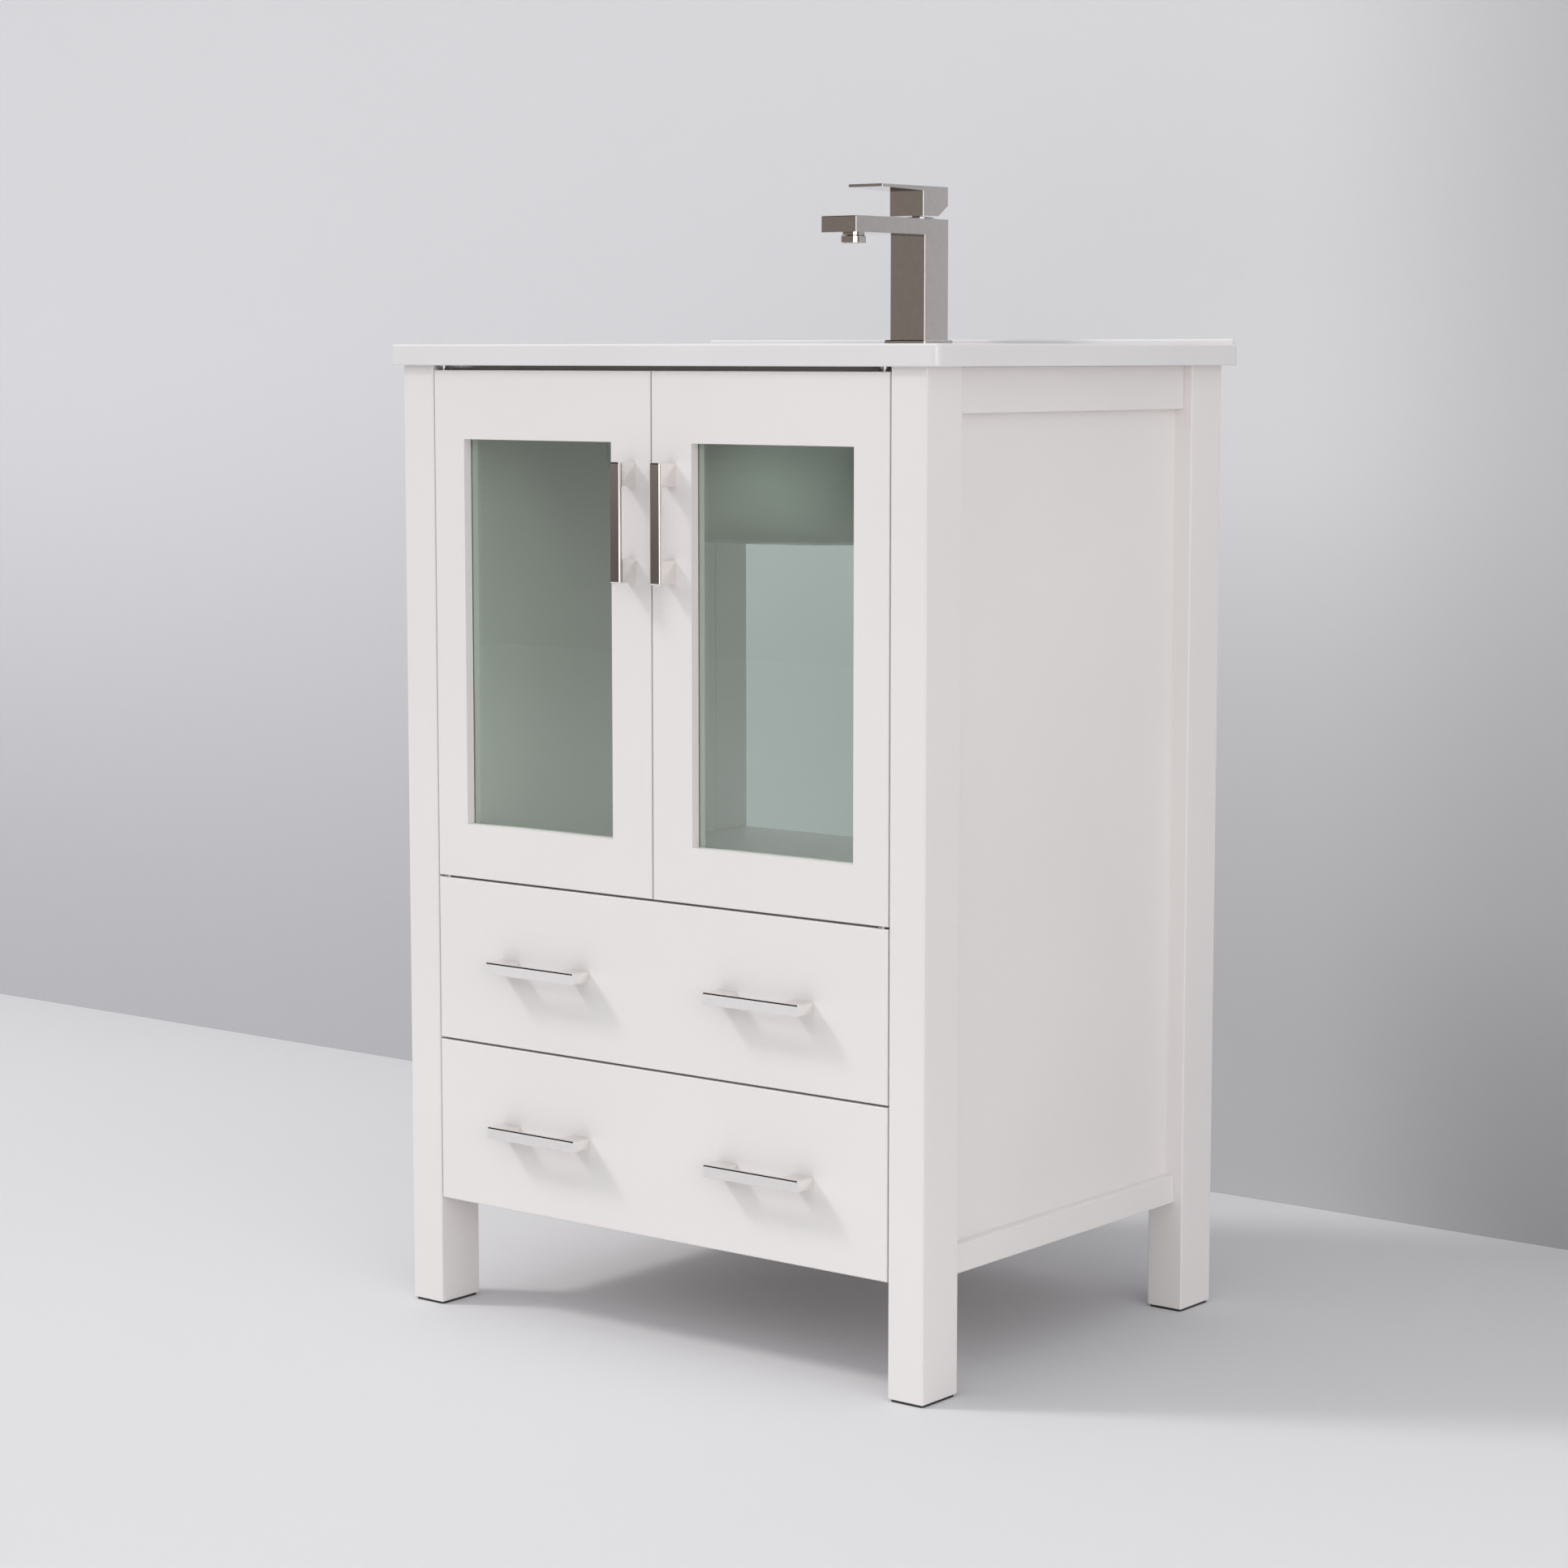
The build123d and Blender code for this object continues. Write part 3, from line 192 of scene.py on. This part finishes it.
def tinted_glass():
    """Float glass, 4 mm, grey-green in the mass.  Lamps shine through it undimmed by caustics."""
    material, tree = blank("grey_green_float_glass")
    where = place(tree)
    melt = add_node(tree, "TexNoise", Vector=where, Scale=1 / (150 * MM), Detail=1.0).outputs["Fac"]
    skin = add_node(tree, "Bump", Height=melt, Strength=0.05, Distance=0.05 * MM)
    tint = tones(tree, melt, "#D4E3DA", "#D6E5DC")
    glass = add_node(
        tree, "BsdfPrincipled",
        Base_Color=tint,
        Roughness=0.0,
        Normal=skin.outputs["Normal"],
        IOR=1.52,
    )
    glass.inputs["Transmission Weight"].default_value = 1.0
    clear = add_node(tree, "BsdfTransparent", Color=tones(tree, melt, "#F8FAF9", "#F9FBFA"))
    rays = add_node(tree, "LightPath")
    mix = add_node(tree, "MixShader", Fac=rays.outputs["Is Shadow Ray"])
    tree.links.new(glass.outputs["BSDF"], mix.inputs[1])
    tree.links.new(clear.outputs["BSDF"], mix.inputs[2])
    finish_surface(tree, mix.outputs["Shader"])
    return material


def birch_plywood():
    """Birch plywood under clear lacquer: pale yellow face, long fine grain, small darker flecks."""
    material, tree = blank("lacquered_birch_face")
    grain_way = place(tree, (1 / (4 * MM), 1 / (90 * MM), 1 / (4 * MM)))
    fleck_way = place(tree, (1 / (1.2 * MM), 1 / (14 * MM), 1 / (1.2 * MM)))
    grain = add_node(tree, "TexNoise", Vector=grain_way, Scale=1.0, Detail=4.0, Distortion=0.6).outputs["Fac"]
    fleck = add_node(tree, "TexNoise", Vector=fleck_way, Scale=1.0, Detail=2.0).outputs["Fac"]
    wood = tones(tree, grain, "#CBA877", "#DCC094", 0.35, 0.65)
    pores = tones(tree, fleck, "#B8935F", "#FFFFFF", 0.22, 0.34)
    blend = add_node(tree, "MixRGB", {"blend_type": "MULTIPLY"}, Fac=0.5, Color1=wood, Color2=pores)
    skin = add_node(tree, "Bump", Height=fleck, Strength=0.2, Distance=0.05 * MM)
    shader = add_node(
        tree, "BsdfPrincipled",
        Base_Color=blend.outputs["Color"],
        Roughness=spread(tree, grain, 0.42, 0.55),
        Normal=skin.outputs["Normal"],
        IOR=1.48,
    )
    finish_surface(tree, shader.outputs["BSDF"])
    return material


def plywood_edge(name, through):
    """Cut edge of birch plywood: plies 1.4 mm thick, turn about long grain and end grain.
    through is the direction that the plies are stacked in."""
    material, tree = blank(name)
    across = place(tree, [share / (2.8 * MM) for share in through])
    ply = add_node(tree, "TexWave", {"wave_profile": "SIN"}, Vector=across, Scale=math.pi / 10).outputs["Fac"]
    along = place(tree, (1 / (1.5 * MM), 1 / (8 * MM), 1 / (1.5 * MM)))
    fibre = add_node(tree, "TexNoise", Vector=along, Scale=1.0, Detail=3.0).outputs["Fac"]
    skin = add_node(tree, "Bump", Height=fibre, Strength=0.3, Distance=0.08 * MM)
    shader = add_node(
        tree, "BsdfPrincipled",
        Base_Color=tones(tree, ply, "#9C7445", "#D9BC90", 0.4, 0.6),
        Roughness=spread(tree, fibre, 0.5, 0.65),
        Normal=skin.outputs["Normal"],
        IOR=1.48,
    )
    finish_surface(tree, shader.outputs["BSDF"])
    return material


def zinc_steel():
    """Pressed steel, zinc plated: cool bright grey with drawing lines along the metal's length."""
    material, tree = blank("zinc_plated_steel")
    along = place(tree, (1 / (0.5 * MM), 1 / (40 * MM), 1 / (0.5 * MM)))
    lines = add_node(tree, "TexNoise", Vector=along, Scale=1.0, Detail=3.0).outputs["Fac"]
    skin = add_node(tree, "Bump", Height=lines, Strength=0.15, Distance=0.03 * MM)
    shader = add_node(
        tree, "BsdfPrincipled",
        Base_Color=tones(tree, lines, "#B9BCC0", "#CDD0D4"),
        Metallic=1.0,
        Roughness=spread(tree, lines, 0.24, 0.38),
        Normal=skin.outputs["Normal"],
    )
    finish_surface(tree, shader.outputs["BSDF"])
    return material


def turned_brass():
    """Turned brass: warm yellow metal with fine rings from the lathe, 0.4 mm apart."""
    material, tree = blank("turned_brass")
    rings = place(tree, (0.0, 0.0, 1 / (0.4 * MM)))
    cut = add_node(tree, "TexNoise", Vector=rings, Scale=1.0, Detail=2.0).outputs["Fac"]
    skin = add_node(tree, "Bump", Height=cut, Strength=0.25, Distance=0.03 * MM)
    shader = add_node(
        tree, "BsdfPrincipled",
        Base_Color=tones(tree, cut, "#C79A4B", "#DDB768"),
        Metallic=1.0,
        Roughness=spread(tree, cut, 0.2, 0.34),
        Normal=skin.outputs["Normal"],
    )
    finish_surface(tree, shader.outputs["BSDF"])
    return material


def moulded_plastic(name, low, high, rough_low, rough_high):
    """Moulded plastic: even colour and a spark-eroded texture of about 0.3 mm."""
    material, tree = blank(name)
    where = place(tree)
    grit = add_node(tree, "TexNoise", Vector=where, Scale=1 / (0.3 * MM), Detail=2.0).outputs["Fac"]
    flow = add_node(tree, "TexNoise", Vector=where, Scale=1 / (30 * MM), Detail=1.0).outputs["Fac"]
    skin = add_node(tree, "Bump", Height=grit, Strength=0.3, Distance=0.03 * MM)
    shader = add_node(
        tree, "BsdfPrincipled",
        Base_Color=tones(tree, flow, low, high),
        Roughness=spread(tree, flow, rough_low, rough_high),
        Normal=skin.outputs["Normal"],
        IOR=1.5,
    )
    finish_surface(tree, shader.outputs["BSDF"])
    return material


def painted_stage(name, low, high, painted_shade_fades):
    """Matt studio paint with a slow drift in tone, under painted shade.  Each fade names an axis,
    two places along it in metres and the darker tone of painted shade that the paint turns to at the second."""
    material, tree = blank(name)
    where = place(tree)
    drift = add_node(tree, "TexNoise", Vector=where, Scale=0.8, Detail=1.0).outputs["Fac"]
    colour = tones(tree, drift, low, high)
    spot = add_node(tree, "SeparateXYZ", Vector=where)
    # each fade multiplies in painted shade: the paint darkens towards its tone along one axis
    for axis, start, end, tone in painted_shade_fades:
        share = add_node(
            tree, "MapRange", {"interpolation_type": "SMOOTHSTEP"},
            Value=spot.outputs[axis], From_Min=start, From_Max=end,
        )
        shaded_colour = add_node(
            tree, "MixRGB", {"blend_type": "MULTIPLY"},
            Fac=share.outputs["Result"], Color1=colour, Color2=linear(tone),
        )
        colour = shaded_colour.outputs["Color"]
    paint = add_node(tree, "BsdfPrincipled", Base_Color=colour, Roughness=0.8, IOR=1.4)
    return material, tree, paint.outputs["BSDF"]


MATERIALS = {
    "white_lacquer": satin_lacquer(),
    "drawer_birch": birch_plywood(),
    "glazed_ceramic": glazed_ceramic(),
    "polished_chrome": polished_chrome("chrome_on_brass", "#CDC8C5", "#D3CECB"),
    "clear_glass": tinted_glass(),
    "zinc_steel": zinc_steel(),
    "brass_thread": turned_brass(),
    "black_plastic": moulded_plastic("black_polyethylene_glide", "#121213", "#19191A", 0.45, 0.55),
    "grey_plastic": moulded_plastic("grey_acetal", "#77787A", "#838486", 0.4, 0.5),
    "white_plastic": moulded_plastic("white_abs", "#E2E0DC", "#E8E6E2", 0.35, 0.45),
}
PULL_CHROME = polished_chrome("bright_chrome_on_zinc", "#F1EEEC", "#F4F1EF")
EDGE_OF_SIDES = plywood_edge("birch_edge_of_drawer_sides", (1, 0, 0))
EDGE_OF_BACK = plywood_edge("birch_edge_of_drawer_back", (0, 1, 0))


# ---------------------------------------------------------------- modelling helpers
MERGE_WITHIN = 0.002 * MM
FLAT_WITHIN = math.radians(0.2)
SMOOTH_WITHIN = math.radians(30)
FACES_ALONG = 0.7        # least share of a face's normal that counts as facing along an axis

CROSS_LONG = 3.4 * MM    # cross recess of a number 2 driver
CROSS_WIDE = 0.9 * MM
CROSS_DEEP = 1.3 * MM
CROSS_TAPER = 0.55       # bottom of the recess against its mouth

PAN_R = 4.0 * MM
PAN_H = 2.4 * MM
PAN_SUNK = 0.3 * MM      # head set into the lacquered board
PAN_DOME = 1.1 * MM
PULL_SCREW_AT = 41.5 * MM    # screws from the middle of a pull

SCREEN_R = 9.0 * MM
SCREEN_CELLS = 18
SCREEN_WIRE = 0.35 * MM
SCREEN_UP = 1.6 * MM     # screen above the faucet's mouth


def only(piece):
    """Make one object the only selected and active one."""
    bpy.ops.object.select_all(action="DESELECT")
    piece.select_set(True)
    bpy.context.view_layer.objects.active = piece


def dress(piece, slot, body, *nodes):
    """Give a finished piece the material of its slot and its body, and hide the CAD parts it stands for."""
    piece.data.materials.clear()
    piece.data.materials.append(MATERIALS[slot])
    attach(piece, body)
    if nodes:
        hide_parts(*nodes)


def origin_to_world():
    """Put the selected piece's origin at the middle of the world."""
    bpy.context.scene.cursor.location = (0, 0, 0)
    bpy.ops.object.origin_set(type="ORIGIN_CURSOR")


def weigh_by_face(piece):
    """Keep flat faces flat where they meet a round, so that mirrors stay true."""
    even = piece.modifiers.new("even", "WEIGHTED_NORMAL")
    even.keep_sharp = True
    even.weight = 100
    bpy.ops.object.modifier_apply(modifier=even.name)


def smooth_copy(node):
    """A copy of a CAD part with its points merged and its rounds shaded smooth."""
    source = frame["nodes"][node]
    piece = bpy.data.objects.new(node + "_finish", source.data.copy())
    bpy.context.collection.objects.link(piece)
    only(piece)
    bpy.ops.mesh.customdata_custom_splitnormals_clear()
    bpy.ops.object.mode_set(mode="EDIT")
    bpy.ops.mesh.select_all(action="SELECT")
    bpy.ops.mesh.remove_doubles(threshold=MERGE_WITHIN)
    bpy.ops.mesh.dissolve_limited(angle_limit=FLAT_WITHIN)
    bpy.ops.object.mode_set(mode="OBJECT")
    bpy.ops.object.shade_smooth_by_angle(angle=SMOOTH_WITHIN)
    weigh_by_face(piece)
    dress(piece, slot_of[node], body_of[node], node)
    return piece


def middles(node, axis, side):
    """Middles of a node's separate shells, moved along axis to their low (-1) or high (1) end,
    or with side 0 to the end nearer the middle of the cabinet."""
    copy = bpy.data.objects.new("shells", frame["nodes"][node].data.copy())
    bpy.context.collection.objects.link(copy)
    only(copy)
    bpy.ops.object.mode_set(mode="EDIT")
    bpy.ops.mesh.select_all(action="SELECT")
    bpy.ops.mesh.remove_doubles(threshold=MERGE_WITHIN)
    bpy.ops.mesh.separate(type="LOOSE")
    bpy.ops.object.mode_set(mode="OBJECT")
    spots = []
    for shell in list(bpy.context.selected_objects):
        ends = [sorted(point.co[i] for point in shell.data.vertices) for i in range(3)]
        spot = [(end[0] + end[-1]) / 2 for end in ends]
        way = side if side else (-1 if spot[axis] > 0 else 1)
        spot[axis] = ends[axis][-1] if way > 0 else ends[axis][0]
        spots.append(tuple(spot))
        bpy.data.objects.remove(shell)
    return spots


def edge_in_plies(piece, edge_material, axis):
    """Show the stacked plies on the faces that a saw has cut: all but those facing along axis."""
    piece.data.materials.append(edge_material)
    for face in piece.data.polygons:
        if abs(face.normal[axis]) < FACES_ALONG:
            face.material_index = 1


def cross_cutter(spot, way):
    """Two tapered blades set crosswise into a screw head at spot, whose head faces way."""
    turn = Vector(way).to_track_quat("Z", "Y").to_euler()
    blades = []
    for size in ((CROSS_LONG, CROSS_WIDE), (CROSS_WIDE, CROSS_LONG)):
        bpy.ops.object.select_all(action="DESELECT")
        bpy.ops.mesh.primitive_cube_add(size=1.0)
        blade = bpy.context.object
        blade.scale = (size[0], size[1], 2 * CROSS_DEEP)
        bpy.ops.object.transform_apply()
        for point in blade.data.vertices:
            if point.co.z < 0:
                point.co.x *= CROSS_TAPER
                point.co.y *= CROSS_TAPER
        blade.location = spot
        blade.rotation_euler = turn
        bpy.ops.object.transform_apply()
        blades.append(blade)
    return blades


def take_away(piece, cutters):
    """Cut each cutter out of piece in turn and throw the cutters away."""
    for cutter in cutters:
        only(piece)
        cut = piece.modifiers.new("recess", "BOOLEAN")
        cut.operation = "DIFFERENCE"
        cut.solver = "EXACT"
        cut.object = cutter
        bpy.ops.object.modifier_apply(modifier=cut.name)
        bpy.data.objects.remove(cutter)


def cross_heads(piece, spots, way_of):
    """Sink a cross recess into every screw head of piece."""
    for spot in spots:
        take_away(piece, cross_cutter(spot, way_of(spot)))
    only(piece)
    bpy.ops.object.shade_smooth_by_angle(angle=SMOOTH_WITHIN)


def pan_head_screws(name, body, spots):
    """Pan heads, 8 mm across, standing on the back of a door or drawer front under its pull."""
    heads = []
    for spot in spots:
        bpy.ops.object.select_all(action="DESELECT")
        middle = (spot[0], spot[1] + PAN_H / 2 - PAN_SUNK / 2, spot[2])
        turn = (math.radians(-90), 0, 0)
        bpy.ops.mesh.primitive_cylinder_add(
            vertices=32, radius=PAN_R, depth=PAN_H + PAN_SUNK, location=middle, rotation=turn,
        )
        head = bpy.context.object
        bpy.ops.object.transform_apply()
        dome = head.modifiers.new("dome", "BEVEL")
        dome.width = PAN_DOME
        dome.segments = 4
        bpy.ops.object.modifier_apply(modifier=dome.name)
        take_away(head, cross_cutter((spot[0], spot[1] + PAN_H, spot[2]), (0, 1, 0)))
        heads.append(head)
    only(heads[0])
    for head in heads[1:]:
        head.select_set(True)
    bpy.ops.object.join()
    heads[0].name = name
    bpy.ops.object.shade_smooth_by_angle(angle=SMOOTH_WITHIN)
    origin_to_world()
    dress(heads[0], "zinc_steel", body)


def spray_screen(middle):
    """Woven steel screen in the mouth of the faucet."""
    bpy.ops.object.select_all(action="DESELECT")
    bpy.ops.mesh.primitive_grid_add(
        x_subdivisions=SCREEN_CELLS, y_subdivisions=SCREEN_CELLS, size=2 * SCREEN_R, location=middle,
    )
    screen = bpy.context.object
    screen.name = "faucet_spray_screen"
    bpy.ops.object.transform_apply()
    bpy.ops.object.mode_set(mode="EDIT")
    bpy.ops.mesh.select_all(action="DESELECT")
    bpy.ops.object.mode_set(mode="OBJECT")
    for point in screen.data.vertices:
        out = Vector((point.co.x - middle[0], point.co.y - middle[1]))
        point.select = out.length > SCREEN_R
    bpy.ops.object.mode_set(mode="EDIT")
    bpy.ops.mesh.delete(type="VERT")
    bpy.ops.object.mode_set(mode="OBJECT")
    wires = screen.modifiers.new("wires", "WIREFRAME")
    wires.thickness = SCREEN_WIRE
    wires.use_boundary = True
    wires.use_even_offset = False
    bpy.ops.object.modifier_apply(modifier=wires.name)
    bpy.ops.object.mode_set(mode="EDIT")
    bpy.ops.mesh.select_all(action="SELECT")
    bpy.ops.mesh.remove_doubles(threshold=MERGE_WITHIN)
    bpy.ops.mesh.normals_make_consistent(inside=False)
    bpy.ops.object.mode_set(mode="OBJECT")
    origin_to_world()
    dress(screen, "zinc_steel", body_of["faucet_aerator"])


# ---------------------------------------------------------------- the object's finishes
KEPT_AS_DRAWN = ["left_door_glass", "right_door_glass"]

for node, thing in frame["nodes"].items():
    thing.data.materials.clear()
    thing.data.materials.append(MATERIALS[slot_of[node]])
finish = {node: smooth_copy(node) for node in frame["nodes"] if node not in KEPT_AS_DRAWN}
cross_heads(finish["hinge_plate_screws"], middles("hinge_plate_screws", 2, 1), lambda spot: (0, 0, 1))
cross_heads(
    finish["runner_screws"], middles("runner_screws", 0, 0),
    lambda spot: (-1, 0, 0) if spot[0] > 0 else (1, 0, 0),
)
for node in ("left_door_handle", "right_door_handle", "upper_drawer_handles", "lower_drawer_handles"):
    finish[node].data.materials[0] = PULL_CHROME
for drawer in ("upper_drawer", "lower_drawer"):
    edge_in_plies(finish[drawer + "_sides"], EDGE_OF_SIDES, 0)
    edge_in_plies(finish[drawer + "_back"], EDGE_OF_BACK, 1)

front_board = frame["nodes"]["upper_drawer_front"]
back_of_fronts_y = max((front_board.matrix_world @ Vector(corner)).y for corner in front_board.bound_box)
for side in ("left", "right"):
    node = side + "_door_handle"
    x, _, z = middles(node, 1, 1)[0]
    spots = [(x, back_of_fronts_y, z - PULL_SCREW_AT), (x, back_of_fronts_y, z + PULL_SCREW_AT)]
    pan_head_screws(side + "_door_pull_screws", body_of[node], spots)
for drawer in ("upper_drawer", "lower_drawer"):
    node = drawer + "_handles"
    spots = [
        (x + offset, back_of_fronts_y, z)
        for x, _, z in middles(node, 1, 1)
        for offset in (-PULL_SCREW_AT, PULL_SCREW_AT)
    ]
    pan_head_screws(drawer + "_pull_screws", body_of[node], spots)
x, y, z = middles("faucet_aerator", 2, -1)[0]
spray_screen((x, y, z + SCREEN_UP))


# ---------------------------------------------------------------- stage and light
def sheet_of_stage(name, middle, turn, material):
    """A flat square sheet, 12 m wide, that the object stands on or in front of."""
    bpy.ops.object.select_all(action="DESELECT")
    bpy.ops.mesh.primitive_plane_add(size=2 * STAGE_HALF, location=middle, rotation=turn)
    piece = bpy.context.object
    piece.name = name
    bpy.ops.object.transform_apply()
    piece.data.materials.append(material)


def build_stage():
    """A pale floor, and behind the cabinet a pale wall that shows only its front; both carry painted shade.
    """
    # painted shade: the floor darkens towards #8E8A88 from 2.6 m to 6 m out in front of the cabinet
    painted_shade_fades = [("Y", -2.6, -6.0, "#8E8A88")]
    material, tree, paint = painted_stage("pale_studio_floor", "#D4D3D4", "#D6D5D6", painted_shade_fades)
    finish_surface(tree, paint)
    sheet_of_stage("studio_floor", (0, 0, 0), (0, 0, 0), material)

    # painted shade: the wall darkens towards the floor below 0.9 m and to the right from x 0.1 m to 0.5 m,
    # where the cabinet shades it
    painted_shade_fades = [("Z", 0.9, 0.0, "#DADADB"), ("X", 0.1, 0.5, "#DCDCDC")]
    material, tree, paint = painted_stage("pale_studio_wall", "#E2E2E4", "#E4E4E6", painted_shade_fades)
    clear = add_node(tree, "BsdfTransparent")
    side = add_node(tree, "NewGeometry").outputs["Backfacing"]
    mix = add_node(tree, "MixShader", Fac=side)
    tree.links.new(paint, mix.inputs[1])
    tree.links.new(clear.outputs["BSDF"], mix.inputs[2])
    finish_surface(tree, mix.outputs["Shader"])
    sheet_of_stage("studio_wall", (0, WALL_Y, 0), (math.radians(90), 0, 0), material)


def add_light(name, kind, energy, towards, place=(0, 0, 3), mirrored=False, **settings):
    """One lamp, turned so that it shines along towards; only a mirrored one shows in gloss."""
    lamp = bpy.data.lights.new(name, kind)
    lamp.energy = energy
    for key, value in settings.items():
        setattr(lamp, key, value)
    thing = bpy.data.objects.new(name, lamp)
    thing.location = place
    thing.visible_camera = False
    thing.visible_glossy = mirrored
    thing.rotation_euler = Vector(towards).to_track_quat("-Z", "Y").to_euler()
    bpy.context.collection.objects.link(thing)


def bands(tree, driver, stops):
    """Colour that follows a list of places and hex tones as the driver rises."""
    ramp = add_node(tree, "ValToRGB", Fac=driver)
    band = ramp.color_ramp
    while len(band.elements) < len(stops):
        band.elements.new(1.0)
    for element, (position, code) in zip(band.elements, stops):
        element.position = position
        element.color = linear(code)
    return ramp.outputs["Color"]


def build_world():
    """A dark room with a bright ceiling; what the camera sees past the stage is plain and pale.
    Shiny things see a dark studio wall to the front left, as polished metal does in such a room."""
    world = bpy.data.worlds.new("studio_room")
    world.use_nodes = True
    bpy.context.scene.world = world
    tree = world.node_tree
    tree.nodes.clear()
    way = add_node(tree, "TexCoord").outputs["Generated"]
    height = add_node(tree, "SeparateXYZ", Vector=way).outputs["Z"]
    rise = add_node(tree, "MapRange", Value=height, From_Min=-0.2, From_Max=1.0).outputs["Result"]
    low = [(0.0, "#5B5452"), (0.12, "#5B5452"), (0.17, "#867E79"), (0.21, "#867E79"), (0.24, "#1C1A1A")]
    open_room = bands(tree, rise, low + [(0.38, "#1C1A1A"), (0.51, "#EFF3FA"), (1.0, "#FBFDFF")])
    dark_wall = bands(tree, rise, low + [(0.86, "#1C1A1A"), (0.97, "#EFF3FA"), (1.0, "#FBFDFF")])
    rays = add_node(tree, "LightPath")
    ahead = add_node(tree, "VectorMath", {"operation": "DOT_PRODUCT"})
    tree.links.new(way, ahead.inputs[0])
    ahead.inputs[1].default_value = (-0.62, -0.78, 0.0)
    sector = add_node(tree, "MapRange", Value=ahead.outputs["Value"], From_Min=0.1, From_Max=0.3)
    share = add_node(tree, "Math", {"operation": "MULTIPLY"})
    tree.links.new(sector.outputs["Result"], share.inputs[0])
    tree.links.new(rays.outputs["Is Glossy Ray"], share.inputs[1])
    seen_room = add_node(tree, "MixRGB", Fac=share.outputs["Value"], Color1=open_room, Color2=dark_wall)
    room = add_node(tree, "Background", Color=seen_room.outputs["Color"], Strength=1.15)
    pale = add_node(tree, "Background", Color=linear("#D5D5D7"), Strength=1.0)
    mix = add_node(tree, "MixShader", Fac=rays.outputs["Is Camera Ray"])
    tree.links.new(room.outputs["Background"], mix.inputs[1])
    tree.links.new(pale.outputs["Background"], mix.inputs[2])
    output = add_node(tree, "OutputWorld")
    tree.links.new(mix.outputs["Shader"], output.inputs["Surface"])


build_stage()
build_world()
add_light(
    "key_from_upper_left", "SUN", 1.0, (1.6, 1.0, -1.85),
    angle=math.radians(10), color=(1.0, 0.97, 0.94),
)
add_light(
    "fill_from_right", "AREA", 70.0, (-0.84, 0.54, -0.05), (4.35, -2.85, 1.3), mirrored=True,
    shape="RECTANGLE", size=3.4, size_y=2.4, color=(1.0, 0.97, 0.95),
)
add_light(
    "soft_from_left", "AREA", 14.0, (0.7, 0.6, -0.5), (-2.6, -2.2, 2.2),
    shape="RECTANGLE", size=2.0, size_y=2.0,
)
bpy.context.scene.view_settings.view_transform = "Standard"
